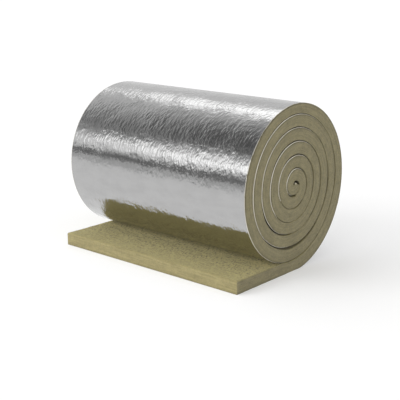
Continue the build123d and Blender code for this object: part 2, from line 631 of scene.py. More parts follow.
# Rows across the mat's thickness, closer together at both edges
ROWS_FROM_FOIL = (0, 0.0006, 0.0015, 0.0026)
ROWS_FROM_TOP = np.array((0.0045, 0.0018, 0.0004, 0))
MIDDLE_ROWS = 6
MIDDLE_FROM_FOIL = 0.006
MIDDLE_FROM_TOP = 0.0085

# Radii of rounded edges
FLAP_FOOT = 0.0010  # the flap's lower edges
CUT_CORNER = 0.003  # the upright edges of the cut end
CUT_TOP = 0.005  # the upper edge of the cut end
TURN_OUTSIDE = 0.0022  # a turn, next to its foil
TURN_INSIDE = 0.0004  # a turn, next to the turn inside it
GROOVE_INSIDE = 0.0018  # what a groove of the usual width adds to that
EYE_EDGE = 0.005  # the innermost turn, round the eye

# The ends of the roll
GROWTH = 8.0  # degrees over which the flap's edge goes over into a turn's
GROOVE_GROWTH = 6.0  # degrees over which the first groove opens
EYE_EDGE_BEFORE_START = 40.0  # degrees
ROUND_FADE = 1.6  # how soon the extra rounding fades towards the upper left
BEHIND_CURL = 0.0004  # from the foil's curled edge to the wool
CLOSED_DEPTH = 0.0015  # depth where two turns press together
SHOULDER_ROOM = 0.003  # from the rounding of the flap's upper edge to its flat top
NIP_REACH = 0.03  # how far from the nip the flap's edge draws in towards the first groove
TOP_LEAN = 0.007  # how far the flap's flat top starts behind its cut end
OPEN_TOP_STATIONS = 4  # stations before the nip where the tufts of the top end

# How the foil's edge curls in over the wool: depth from the end of the roll, and share of the curl
CURL = ((0.0006, 1.0), (0.0012, 0.66), (0.0022, 0.33), (0.0036, 0.10), (0.0055, 0.0))


def shoulder_drop(distance, radius):
    """How far a rounded edge falls back, at a distance from the edge."""
    short = np.clip(radius - distance, 0, radius)
    return radius - np.sqrt(radius**2 - short**2)


def run_length(points):
    """How far along a line each of its points is."""
    return np.concatenate(((0,), np.cumsum(np.linalg.norm(np.diff(points, axis=0), axis=1))))


def paired(first, second):
    """Two grids of numbers as one grid of pairs."""
    return np.stack(np.broadcast_arrays(first, second), axis=-1)


def with_x(x, section):
    """Points from their places along the roll and their points across it."""
    return np.concatenate((x[..., None], np.broadcast_to(section, (*x.shape, 2))), axis=-1)


class PatchMesh:
    """Collects grids of points that meet edge to edge, and joins them into one closed mesh."""

    def __init__(self):
        self.points = []
        self.uvs = []
        self.reliefs = []
        self.faces = []
        self.kinds = []
        self.count = 0

    def add_points(self, points, uv, relief):
        """Keeps points with their place on the surface, and gives their numbers in the same grid."""
        shape = points.shape[:-1]
        numbers = self.count + np.arange(np.prod(shape)).reshape(shape)
        self.points.append(points.reshape(-1, 3))
        self.uvs.append(np.broadcast_to(uv, (*shape, 2)).reshape(-1, 2))
        self.reliefs.append(np.broadcast_to(relief, shape).reshape(-1))
        self.count += numbers.size
        return numbers

    def add_grid(self, points, uv, relief, kind, flip=False):
        """A grid of quads, facing along the first direction crossed with the second."""
        numbers = self.add_points(points, uv, relief)
        corners = (numbers[:-1, :-1], numbers[1:, :-1], numbers[1:, 1:], numbers[:-1, 1:])
        quads = np.stack(corners, axis=-1).reshape(-1, 4)
        if flip:
            quads = quads[:, ::-1]
        self.faces.extend(quads.tolist())
        self.kinds.extend([kind] * len(quads))
        return numbers

    def add_polygon(self, numbers, kind):
        """One face with many corners."""
        self.faces.append([int(number) for number in numbers])
        self.kinds.append(kind)

    def build(self, name):
        """The mesh, with points in the same place made one."""
        points = np.concatenate(self.points)
        cells = np.round((points + WELD_SHIFT) / WELD).astype(np.int64)
        _, first, welded = np.unique(cells, axis=0, return_index=True, return_inverse=True)
        welded = welded.reshape(-1)
        faces = []
        corners = []
        kinds = []
        for face, kind in zip(self.faces, self.kinds):
            kept = [corner for at, corner in enumerate(face) if welded[corner] != welded[face[at - 1]]]
            if len(kept) > 2:
                faces.append([int(welded[corner]) for corner in kept])
                corners.extend(kept)
                kinds.append(kind)
        mesh = bpy.data.meshes.new(name)
        mesh.from_pydata(points[first].tolist(), [], faces)
        uv = mesh.uv_layers.new(name="Fibre")
        uv.data.foreach_set("uv", np.concatenate(self.uvs)[corners].astype(np.float32).ravel())
        relief = mesh.attributes.new("relief", "FLOAT", "POINT")
        relief.data.foreach_set("value", np.concatenate(self.reliefs)[first].astype(np.float32))
        face_kind = mesh.attributes.new("face_kind", "FLOAT", "FACE")
        face_kind.data.foreach_set("value", np.array(kinds, dtype=np.float32))
        mesh.validate()
        return mesh


class Blanket:
    """The wool at each station along the mat, first along the flap and then round the winding.

    Its section has the points across the mat there, and its depth says how far they lie in from the ends
    of the roll. The first and the last point of a station are hidden, most of them in the grooves.
    """

    def __init__(self, mat, wool, foil, winding):
        self.half = mat.width / 2
        self.thickness = mat.thickness
        middle = np.linspace(MIDDLE_FROM_FOIL, mat.thickness - MIDDLE_FROM_TOP, MIDDLE_ROWS)
        self.rows = np.concatenate((ROWS_FROM_FOIL, middle, mat.thickness - ROWS_FROM_TOP))
        self.angle = winding.angles(winding.nip, winding.end)
        self.find_sides(wool, winding)
        self.grown = self.after_flap(np.clip((self.angle - self.angle[0]) / GROWTH, 0, 1))
        self.spread = self.after_flap(winding.opening(self.angle + TURN))
        self.parted = self.after_flap(winding.parted(self.angle + TURN), 1.0)
        self.find_section(wool, winding)
        self.find_depth(wool, foil, winding)

    def after_flap(self, values, on_flap=0.0):
        """Values for all stations, from those past the flap."""
        return np.concatenate((np.full(self.flap, on_flap), values))

    def find_sides(self, wool, winding):
        """Both sides of the mat, and how far each station is from the cut end."""
        wound_outside = winding.outer(self.angle, WOOL_BED)
        wound_inside = winding.inner(self.angle)
        run = wound_inside[0, 0] - winding.flap_end
        from_cut = np.concatenate((CUT_STATIONS, np.linspace(EVEN_STATIONS_FROM, run, EVEN_STATIONS)[:-1]))
        under_run = wound_outside[0, 0] - winding.flap_end
        flap_outside = paired(winding.flap_end + from_cut / run * under_run, WOOL_BED)
        loft = self.thickness + wool.loft * np.clip(1 - from_cut / LOFT_REACH, 0, 1) ** 2
        flap_inside = paired(winding.flap_end + from_cut, loft)
        self.flap = len(from_cut)
        self.second_turn = self.flap + STATIONS_IN_TURN
        self.from_cut = np.concatenate((from_cut, np.full(len(self.angle), run)))
        self.outside = np.concatenate((flap_outside, wound_outside))
        self.inside = np.concatenate((flap_inside, wound_inside))

    def find_section(self, wool, winding):
        """Points across the mat, drawn back where a groove opens."""
        drawn_back = wool.groove_width * self.spread * self.grown * self.parted / self.thickness
        reach = self.rows / self.thickness * (1 - drawn_back)[:, None]
        shown = self.outside[:, None] + (self.inside - self.outside)[:, None] * reach[..., None]

        # The hidden point at each side, which is the floor of a groove where two turns meet
        groove = winding.groove_floor(self.angle[STATIONS_IN_TURN:])
        self.grooved = slice(self.flap, self.flap + len(groove))
        under = self.outside.copy()
        under[:self.flap, 1] = HIDDEN_BED
        under[self.flap:self.second_turn] = winding.outer(self.angle[:STATIONS_IN_TURN], HIDDEN_BED)
        under[self.second_turn:] = groove
        over = self.inside.copy()
        over[self.grooved] = groove
        self.section = np.concatenate((under[:, None], shown, over[:, None]), axis=1)
        self.section[-1] = groove[-1]

        # The cut end leans back where its upper edge is rounded
        lean = np.concatenate(((0,), shoulder_drop(self.thickness - self.rows, CUT_TOP), (TOP_LEAN,)))
        near_cut = np.clip(1 - self.from_cut[:self.flap] / LEAN_REACH, 0, 1)
        self.section[:self.flap, :, 0] += lean * near_cut[:, None]

    def find_shown_depth(self, wool, foil, winding):
        """How far the shown rows lie in from the end of the roll, on the flap and beside the grooves."""
        angle = self.angle
        from_top = self.thickness - self.rows
        open_drop = np.maximum(shoulder_drop(self.rows, FLAP_FOOT), shoulder_drop(from_top, wool.shoulder))
        inner_edge = TURN_INSIDE + GROOVE_INSIDE * self.spread * self.parted
        inner_edge[self.flap:][angle > winding.start - EYE_EDGE_BEFORE_START] = EYE_EDGE
        in_groove = np.clip((angle - winding.nip - TURN) / GROOVE_GROWTH, 0, 1) * winding.parted(angle)
        in_groove = self.after_flap(in_groove)[:, None]
        away = self.after_flap(np.clip(1 - ROUND_FADE * winding.upper_left(angle), 0, 1))[:, None]
        outer_edge = shoulder_drop(self.rows, TURN_OUTSIDE + wool.groove_round * away * in_groove)
        wound_drop = np.maximum(outer_edge, shoulder_drop(from_top, inner_edge[:, None]))
        drop = open_drop + (wound_drop - open_drop) * self.grown[:, None]

        # Under the curled edge of the foil the wool lies just behind it
        curl_depth, curl_share = np.transpose(CURL[::-1])
        under_curl = np.interp(self.rows, foil.edge_curl * curl_share, curl_depth + BEHIND_CURL, right=0.0)
        stand = self.after_flap(winding.foil_stand(angle, foil))[:, None]
        under_curl = np.where(under_curl > 0, np.maximum(under_curl - stand, 0), 0)
        drop = np.maximum(drop, under_curl * in_groove)
        drop[self.flap:] -= winding.proud(angle)[:, None]
        return drop

    def find_depth(self, wool, foil, winding):
        """How far all the points lie in from the end of the roll."""
        parted = winding.parted(self.angle[STATIONS_IN_TURN:])
        groove_depth = CLOSED_DEPTH + (wool.groove_depth - CLOSED_DEPTH) * parted
        into_nip = np.clip((self.from_cut - self.from_cut[-1]) / NIP_REACH + 1, 0, 1)
        open_edge = wool.shoulder + SHOULDER_ROOM
        self.depth = np.empty(self.section.shape[:2])
        self.depth[:, 0] = HIDDEN_DEPTH
        self.depth[self.second_turn:, 0] = groove_depth
        self.depth[:, 1:-1] = self.find_shown_depth(wool, foil, winding)
        self.depth[:, -1] = open_edge + (wool.groove_depth - open_edge) * into_nip**2
        self.depth[self.grooved, -1] = groove_depth
        self.depth[-1] = groove_depth[-1]
        self.depth += shoulder_drop(self.from_cut, CUT_CORNER)[:, None]

    def relief(self):
        """How high the tufts are at each point, as a share of the relief's height."""
        relief = np.ones_like(self.depth)
        relief[:, [0, -1]] = 0
        relief[:, [1, -2]] = 0.5
        relief[:self.flap - OPEN_TOP_STATIONS, -1] = 1
        relief[-2:] = 0
        return relief

    def mesh(self):
        """The blanket as one closed mesh."""
        patches = PatchMesh()
        section = self.section
        reach = self.half - self.depth
        relief = self.relief()
        travelled = run_length((self.outside + self.inside) / 2)

        # The wound edges at both ends of the roll
        edge_uv = paired(travelled[:, None], np.concatenate(((0,), self.rows, (self.thickness,))))
        for side in (1, -1):
            patches.add_grid(with_x(side * reach, section), edge_uv, relief, FACE_EDGE, flip=side < 0)

        # The open top and the cut end
        across_roll = np.linspace(-1, 1, TOP_COLUMNS + 1)[:, None]
        flap = slice(self.flap + 1)
        points = with_x(across_roll * reach[flap, -1], section[flap, -1])
        top = patches.add_grid(points, points[..., :2], relief[flap, -1], FACE_TOP)
        x = across_roll * reach[0]
        cut_uv = paired(x, run_length(section[0]))
        cut_end = patches.add_grid(with_x(x, section[0]), cut_uv, relief[0], FACE_TOP)

        # The side under the foil, and the bore
        open_foil = slice(1, self.second_turn)
        x = reach[open_foil, :1] * np.array((-1, 1))
        hidden = patches.add_grid(with_x(x, section[open_foil, :1]), (0, 0), 0.0, FACE_EDGE)
        patches.add_polygon([*cut_end[::-1, 0], *hidden[0]], FACE_EDGE)
        patches.add_polygon([*hidden[-1][::-1], *top[:, -1]], FACE_EDGE)
        bore = slice(-1 - STATIONS_IN_TURN, None)
        x = reach[bore, -1] * np.array(((-1,), (1,)))
        patches.add_grid(with_x(x, section[bore, -1]), paired(x, travelled[bore]), 0.0, FACE_EDGE)
        return patches.build("wool")


def wool_relief_tree():
    """Tufts on the open faces of the wool."""
    inputs = {**GEOMETRY, "Height": "Float", "Grain": "Float", "Material": "Material"}
    tree, given, result = new_tree("Wool relief", "GeometryNodeTree", inputs, GEOMETRY)
    place = flow(tree, "GeometryNodeInputPosition")
    grain = 1.0 / given["Grain"]
    tufts = noise(place, grain, 3.0, 0.6) - 0.5
    swells = noise(place, grain * 0.3, 1.0) - 0.5
    height = (tufts + swells) * given["Height"] * 2.0 * attribute(tree, "relief")
    shaped = moved(given["Geometry"], Offset=scaled(flow(tree, "GeometryNodeInputNormal"), height))
    end_tree(realized(smooth_but_sharp_edges(shaped)), given, result)
    return tree


# Loose fibres

STRAND_SEED = 7
STRAND_STEPS = 4  # along a fibre
STRAND_SIDES = 3
STRAND_BOW = 0.16  # how far a fibre bows up off the wool, as a share of half its length
STRAND_TILT = 0.10  # radians
FULL_TURN = 6.283  # radians
OPEN_WOOL = 0.7  # relief from which wool counts as open
LOWEST_STRAND = (-10.0, -10.0, 0.0006)  # no fibre reaches below this height


def strand_tree():
    """Loose fibres that lie on the open faces of the wool."""
    sizes = {"Density": "Float", "Length": "Float", "Radius": "Float", "Seed": "Int"}
    inputs = {**GEOMETRY, **sizes, "Material": "Material"}
    tree, given, result = new_tree("Loose strands", "GeometryNodeTree", inputs, GEOMETRY)

    def chance(low, high, shift, kind="FLOAT"):
        """A random value for each fibre."""
        inputs = {"Min": low, "Max": high, "Seed": given["Seed"] + shift}
        return flow(tree, "FunctionNodeRandomValue", inputs, data_type=kind)

    inputs = {
        "Mesh": given["Geometry"],
        "Selection": calc("GREATER_THAN", attribute(tree, "relief"), OPEN_WOOL),
        "Density": given["Density"],
        "Seed": given["Seed"],
    }
    scatter = put(tree, "GeometryNodeDistributePointsOnFaces", inputs).outputs
    half = given["Length"] * 0.5
    inputs = {
        "Resolution": STRAND_STEPS,
        "Start": vector_of(tree, x=half * -1.0),
        "Middle": vector_of(tree, y=half, z=half * STRAND_BOW),
        "End": vector_of(tree, x=half),
    }
    bow = flow(tree, "GeometryNodeCurveQuadraticBezier", inputs)
    inputs = {"Resolution": STRAND_SIDES, "Radius": given["Radius"]}
    section = flow(tree, "GeometryNodeCurvePrimitiveCircle", inputs)
    least_spin = (-STRAND_TILT, -STRAND_TILT, 0.0)
    spin = chance(least_spin, (STRAND_TILT, STRAND_TILT, FULL_TURN), 1, "FLOAT_VECTOR")
    inputs = {"Rotation": Flow(scatter["Rotation"]), "Rotate By": spin}
    inputs = {
        "Points": Flow(scatter["Points"]),
        "Instance": swept(bow, section),
        "Rotation": flow(tree, "FunctionNodeRotateRotation", inputs, rotation_space="LOCAL"),
        "Scale": vector_of(tree, chance(0.5, 1.5, 2), chance(0.1, 1.0, 3), 1.0),
    }
    placed = flow(tree, "GeometryNodeInstanceOnPoints", inputs)
    solid = realized(stored(placed, "tone", chance(0.0, 1.0, 4), domain="INSTANCE"))
    place = flow(tree, "GeometryNodeInputPosition")
    end_tree(moved(solid, Position=vector_calc("MAXIMUM", place, LOWEST_STRAND)), given, result)
    return tree


# The wool's finish

UP_OVER_FLAP = (0.0, -0.707, 0.707)
RIM_INSIDE = (0.054, 0.046)  # how far in the outermost turn goes over into the next
WOOL_GRAIN = {"Hair size": 0.006, "Clump size": 0.022, "Fibre size": 0.0035, "Speck size": 0.0060}
HAIR_LAYERS = ((1.0, 2.5), (0.55, 1.8))  # share of the hair size, and twist
STREAK_FINENESS = (45.0, 380.0, 0.0)  # features in a metre along the fibres and across them
LAYER_FINENESS = (9.0, 120.0, 0.0)
SPECK_STRETCH = (1.0, 0.45, 1.0)  # specks are longer along the mat

# Where the wool's painted shade and light lie: from where to where each one goes over
PAINTED_FACING_REACH = (0.001, 0.013)  # from the facing, for the painted shade there
CUT_REACH = (0.0, 0.14)  # from the cut end of the flap, for the painted shade there and the fewer specks
NIP_SIDE = (0.165, 0.285)  # the same, for the painted light towards the nip, which makes up for the shade of the roll over it
GROOVE_REACH = (0.001, 0.007)  # from the end of the roll, for the painted shade in the grooves
EYE_HIGHLIGHT_REACH = (0.5, 1.1)  # shares of the painted highlight's size

# How strong they are
LAYER_SHADE = 0.20
# Painted shade next to the facing, on all the cut faces
PAINTED_FACING_SHADE = 0.24
OVER_FLAP_SHADE = 0.30  # more painted shade next to the facing, on the roll's side over the flap
RIM_SHADE = 0.12  # more painted shade next to the facing, on the outermost turn
ROLL_SHADE = -0.10  # less painted shade next to the facing, on the rest of the roll's ends
# Painted shade towards the cut end, and painted light towards the nip
CUT_SHADE = 0.08
NIP_LIGHT = 0.40
# Painted shade inside the grooves
GROOVE_SHADE = 0.6
SPECKS_ON_TOP = 0.54
SPECKS_LESS_AT_CUT = 0.40
SPECKS_ELSEWHERE = 0.08


def wool_mottle():
    """Shared look of mineral wool: clumps, fine fibres, layers and dark specks."""
    made = bpy.data.node_groups.get("Wool mottle")
    if made:
        return made
    inputs = {"Place": "Vector", "Lie": "Vector", **dict.fromkeys(WOOL_GRAIN, "Float")}
    outputs = dict.fromkeys(("Tone", "Layers", "Specks", "Height"), "Float")
    tree, given, result = new_tree("Wool mottle", "ShaderNodeTree", inputs, outputs)
    place = given["Place"]
    lie = given["Lie"]
    clumps = noise(place, 1.0 / given["Clump size"], 3.0, 0.55)
    fibres = noise(place, 1.0 / given["Fibre size"], 3.0, 0.65)
    streaks = noise(vector_calc("MULTIPLY", lie, STREAK_FINENESS), 1.0, 3.0, 0.6)
    lines = []
    for size, twist in HAIR_LAYERS:
        bent = noise(place, 1.0 / size / given["Hair size"], 1.0, twist=twist)
        lines.append(ramp(abs(bent - 0.5), 0.0, 0.07, 1.0, 0.0))
    hairs = calc("MAXIMUM", *lines)
    tone = clumps * 0.45 + fibres * 0.35 + streaks * 0.2 + hairs * 0.16 - 0.05
    layers = noise(vector_calc("MULTIPLY", lie, LAYER_FINENESS), 1.0)
    dots = noise(vector_calc("MULTIPLY", place, SPECK_STRETCH), 1.0 / given["Speck size"], 1.5, 0.6)
    results = {
        "Tone": ramp(tone, 0.33, 0.67),
        "Layers": ramp(layers, 0.35, 0.65),
        "Specks": ramp(dots, 0.54, 0.61),
        "Height": fibres * 0.6 + streaks * 0.4 + hairs * 0.25 - ramp(dots, 0.52, 0.72) * 0.5,
    }
    plug(result, results)
    return tree


def mottle_shade(tone):
    """How much darker or paler the mottle makes the wool."""
    return tone * 0.30 + 0.85


def round_the_roll(tree, winding):
    """How far a place is from the roll's axis, and how nearly it lies up and over the flap from there."""
    middle = (0.0, winding.axis_y + winding.step / 2, winding.axis_z + winding.step / 2)
    away = vector_calc("SUBTRACT", flow(tree, "ShaderNodeTexCoord", output="Object"), middle)
    away = vector_calc("MULTIPLY", away, (0.0, 1.0, 1.0))
    radius = vector_calc("LENGTH", away)
    return radius, vector_calc("DOT_PRODUCT", away, UP_OVER_FLAP) / radius


def at_rim(radius, winding):
    """1 on the outermost turn, by the distance from the roll's axis."""
    low, high = (winding.first_radius - inside for inside in RIM_INSIDE)
    return ramp(radius, low, high)


def wool_material(wool, winding, half_width):
    """Mineral wool on the mat: each face has its own tone, whose brightness is painted light and shade; more
    painted shade lies by the facing, in the grooves and towards the cut end, painted light towards the nip,
    a painted highlight in the eye, and the open top is specked.
    """
    material, tree, shader = new_material("mineral_wool")
    place = flow(tree, "ShaderNodeTexCoord", output="Object")
    lie = flow(tree, "ShaderNodeUVMap", uv_map="Fibre")
    inputs = {"Place": place, "Lie": lie, **WOOL_GRAIN}
    mottle = put(tree, "ShaderNodeGroup", inputs, node_tree=wool_mottle())
    tone, layers, specks, height = map(Flow, mottle.outputs)
    kind = flow(tree, "ShaderNodeAttribute", output="Fac", attribute_name="face_kind")
    is_edge = ramp(kind, 0.3, 0.7)
    # The colour goes over from the cut end's to the top's as a face turns up: painted light and shade by the
    # way the face looks.
    _, _, facing_up = parts(flow(tree, "ShaderNodeTexCoord", output="Normal"))
    is_top = ramp(facing_up, 0.7, 1.0)
    is_cut = 1.0 - is_top
    colour = mix(is_edge, colour4(wool.front_colour), colour4(wool.edge_colour))
    colour = mix(is_top, colour, colour4(wool.top_colour))
    # A painted highlight on the hump in the eye
    from_eye_highlight = vector_calc("SUBTRACT", place, (0.0, *(winding.hump_top() + EYE_HIGHLIGHT_PLACE)))
    from_eye_highlight = vector_calc("LENGTH", vector_calc("DIVIDE", from_eye_highlight, (1e6, *EYE_HIGHLIGHT_SIZE)))
    colour = mix(ramp(from_eye_highlight, *EYE_HIGHLIGHT_REACH, 1.0, 0.0), colour, colour4(wool.eye_highlight_colour))
    shade = mottle_shade(tone)

    # The cut faces show the layers of the wool, and have painted shade next to the facing, standing in for
    # the shade of the grooves on the roll's ends and of the floor under the cut end
    shade = shade * ((layers - 0.5) * LAYER_SHADE * is_cut + 1.0)
    _, across, _ = parts(lie)
    facing_painted_shade = ramp(across, *PAINTED_FACING_REACH, 1.0, 0.0) * is_cut
    radius, over_flap = round_the_roll(tree, winding)
    over_flap = ramp(over_flap, 0.3, 0.7)
    shaded = calc("MAXIMUM", over_flap * OVER_FLAP_SHADE, at_rim(radius, winding) * RIM_SHADE)
    shade = shade * (1.0 - facing_painted_shade * (is_edge * (shaded + ROLL_SHADE) + PAINTED_FACING_SHADE))

    # The open top has painted shade and fewer specks towards the cut end, and painted light towards the nip,
    # which makes up for the shade of the roll over it
    x, y, _ = parts(place)
    from_cut = y - winding.flap_end
    near_cut = ramp(from_cut, *CUT_REACH, 1.0, 0.0)
    near_nip = ramp(from_cut, *NIP_SIDE)
    bare_top = is_top * (1.0 - is_edge)
    shade = shade * (1.0 - near_cut * bare_top * CUT_SHADE)
    shade = shade * (near_nip * bare_top * NIP_LIGHT + 1.0)
    speck_weight = bare_top * (SPECKS_ON_TOP - near_cut * SPECKS_LESS_AT_CUT) + SPECKS_ELSEWHERE
    shade = shade * (1.0 - specks * speck_weight)

    # Painted shade darkens the wool inside the grooves
    sunk = ramp(half_width - abs(x), *GROOVE_REACH) * is_edge
    shade = shade * (1.0 - sunk * GROOVE_SHADE)
    finish = {
        "Base Color": scaled(colour, shade),
        "Normal": flow(tree, "ShaderNodeBump", {"Height": height, "Strength": 0.5, "Distance": 0.002}),
        "Roughness": 0.95,
        "Specular IOR Level": 0.2,
        "Sheen Weight": 0.15,
        "Sheen Roughness": 0.5,
    }
    plug(shader, finish)
    return material


def strand_material(wool):
    """Loose fibres, some paler and some darker than the wool under them."""
    material, tree, shader = new_material("loose_fibre")
    inputs = {"Place": flow(tree, "ShaderNodeTexCoord", output="Object"), **WOOL_GRAIN}
    mottle = put(tree, "ShaderNodeGroup", inputs, node_tree=wool_mottle())
    tone = flow(tree, "ShaderNodeAttribute", output="Fac", attribute_name="tone")
    colour = mix(tone, colour4(wool.top_colour, 0.8), colour4(wool.top_colour, 1.3))
    colour = scaled(colour, mottle_shade(Flow(mottle.outputs["Tone"])))
    plug(shader, {"Base Color": colour, "Roughness": 0.7, "Specular IOR Level": 0.3})
    return material


# The foil

FLOOR_STATIONS = 16
FLAT_FROM_END = 0.006  # where the flat of the open sheet starts, from the end of the roll
EDGE_FLAT = 0.009  # a point on the flat of an edge between the turns, from the end of the roll
EDGE_OVERLAP = 6.0  # degrees that the wound edges start before the open sheet ends
SHEET_BACKING = (0, 2, 4, -5, -3, -1)  # points of the outline that its back follows
EDGE_BACKING = (0, 2, 4, -1)
CALM_PAST_LOWEST = 0.09  # how far past the roll's lowest line the sheet stays calm
CALM_RIM = 0.03  # how far from the ends of the roll the sheet's crinkles fade
CALM_GROWTH = 0.1  # how far past the calm stretch they take to grow
FRAY_FINENESS = 25.0  # frayed places in a metre of edge
FRAY_DEPTH = 0.004  # how far in the fray reaches
BACK_OF_FOIL = -0.00001  # points of an outline below this height are on its back or its curl

# Lines across the foil where it is less crinkled: place along the sheet, and share of the height
CRINKLE_LINES = ((1.955, 0.55), (2.06, 0.5))
CALM_LINE = (0.02, 0.07)  # from where to where the height grows back beside such a line
CRINKLE_LEAN = 0.06  # how far the crinkles lean along the roll, for each metre round it

# Sizes of the small crinkles and of their patches, along the roll and round it
DASHES = (0.013, 0.025)
FINE_CRINKLES = (0.006, 0.010)
BROAD_CRINKLES = (0.08, 0.14)
CRINKLED_PATCHES = (0.15, 0.10)
DULL_PATCHES = (0.10, 0.045)
HAZE_PATCHES = (0.05, 0.11)
FINE_SHARE = 0.35  # heights of the fine and the broad crinkles, as shares of the dashes' height
BROAD_SHARE = 0.66
SMALL_HEIGHT = 0.0017  # height of the dashes
SCUFF = (0.0045, 0.0015)  # from the end of the roll: where the scuffed edge starts and is full


def path_object(name, points, closed=False):
    """A curve through points, for a geometry tree to follow."""
    curve = bpy.data.curves.new(name, "CURVE")
    curve.dimensions = "3D"
    spline = curve.splines.new("POLY")
    spline.points.add(len(points) - 1)
    for point, place in zip(spline.points, points):
        point.co = (*place, 1.0)
    spline.use_cyclic_u = closed
    return add_object(name, curve)


def curled_edge(half, curl):
    """The near edge of the foil as points (x, height), from its flat to the end of the roll."""
    return [(half - depth, -curl * share) for depth, share in reversed(CURL)]


def strip_outline(line, thickness, backing):
    """A thin closed outline: its outer side is a line of points from -X to +X, its back a few of them."""
    over = [(x, y, 0.0) for x, y in line]
    under = [(line[at][0], line[at][1] - thickness, 0.0) for at in backing]
    return under + over[::-1]


def foil_helpers(mat, foil, winding):
    """The curves that the foil's tree follows: the open sheet's and the wound edges', with outlines."""
    half = mat.width / 2
    open_angles = winding.angles(winding.nip, winding.nip + TURN)
    wound = winding.outer(open_angles)
    floor_line = paired(np.linspace(winding.flap_end, wound[0, 0], FLOOR_STATIONS)[:-1], 0.0)
    sheet = np.concatenate((floor_line, wound))
    edge_angles = winding.angles(winding.nip + TURN - EDGE_OVERLAP, winding.closed)
    stand = winding.proud(edge_angles) + winding.foil_stand(edge_angles, foil)
    near_rim = curled_edge(half, foil.rim_curl)
    far_rim = [(-x, y) for x, y in reversed(near_rim)]
    flat = [(x, 0.0) for x in np.linspace(FLAT_FROM_END - half, half - FLAT_FROM_END, foil.columns)]
    sheet_outline = strip_outline(far_rim + flat + near_rim, foil.thickness, SHEET_BACKING)
    deep = [(half - foil.edge_depth, 0.0), (half - EDGE_FLAT, 0.0)]
    edge_outline = strip_outline(deep + curled_edge(half, foil.edge_curl), foil.thickness, EDGE_BACKING)
    return {
        "Sheet path": path_object("sheet_path", with_x(np.zeros(len(sheet)), sheet)),
        "Sheet profile": path_object("sheet_profile", sheet_outline, closed=True),
        "Edge path": path_object("edge_path", with_x(stand, winding.outer(edge_angles))),
        "Edge profile": path_object("edge_profile", edge_outline, closed=True),
    }


def foil_tree():
    """The facing: an open sheet round the roll, and its edges between the turns at both ends."""
    helpers = ("Sheet path", "Sheet profile", "Edge path", "Edge profile")
    sizes = ("Mat width", "Edge fray", "Crinkle height", "Crinkle width", "Crinkle length", "Calm length")
    inputs = {**dict.fromkeys(helpers, "Object"), **dict.fromkeys(sizes, "Float"), "Material": "Material"}
    tree, given, result = new_tree("Foil winding", "GeometryNodeTree", inputs, GEOMETRY)

    def curve(name):
        """A helper curve."""
        return flow(tree, "GeometryNodeObjectInfo", {"Object": given[name]}, "Geometry")

    def on_side(geometry, side):
        """Geometry as it is, or mirrored to the far end."""
        return flow(tree, "GeometryNodeTransform", {"Geometry": geometry, "Scale": (side, 1.0, 1.0)})

    def sweep(path, shape):
        """An outline swept along a path, with its places on the sheet stored on it."""
        x, y, _ = parts(flow(tree, "GeometryNodeInputPosition"))
        shape = stored(shape, "across", x)
        shape = stored(shape, "outward", calc("GREATER_THAN", y, BACK_OF_FOIL))
        inputs = {"Curve": path, "Normal": (1.0, 0.0, 0.0)}
        path = flow(tree, "GeometryNodeSetCurveNormal", inputs, mode="FREE")
        along = flow(tree, "GeometryNodeSplineParameter", output="Length")
        return swept(stored(path, "along", along), shape)

    # The open sheet, with soft crinkles that die out at its edges and on the underside
    across = attribute(tree, "across")
    along = attribute(tree, "along")
    place = vector_of(tree, across / given["Crinkle width"], along / given["Crinkle length"])
    from_edge = given["Mat width"] * 0.5 - abs(across)
    calm = ramp(from_edge, 0.0, CALM_RIM) * ramp(along - given["Calm length"], 0.0, CALM_GROWTH)
    height = (noise(place, 1.0) - 0.4) * given["Crinkle height"] * calm * attribute(tree, "outward")
    sheet = sweep(curve("Sheet path"), curve("Sheet profile"))
    pieces = [moved(sheet, Offset=scaled(flow(tree, "GeometryNodeInputNormal"), height))]

    # The edges, cut a little unevenly
    near_edge = curve("Edge profile")
    far_edge = flow(tree, "GeometryNodeReverseCurve", {"Curve": on_side(near_edge, -1.0)})
    outermost = ramp(from_edge, 0.0, FRAY_DEPTH, 1.0, 0.0)
    for side, shape in ((1.0, near_edge), (-1.0, far_edge)):
        uneven = noise(vector_of(tree, side, along * FRAY_FINENESS), 1.0, 4.0, 0.6) - 0.5
        fray = uneven * (given["Edge fray"] * (2.0 * side)) * outermost
        edge = sweep(on_side(curve("Edge path"), side), shape)
        pieces.append(moved(edge, Offset=vector_of(tree, fray)))
    join = tree.nodes.new("GeometryNodeJoinGeometry")
    for piece in pieces:
        plug(join, {0: piece})
    mapped = stored(Flow(join.outputs[0]), "Sheet", vector_of(tree, across, along), "FLOAT2", "CORNER")
    end_tree(realized(smooth_but_sharp_edges(mapped)), given, result)
    return tree


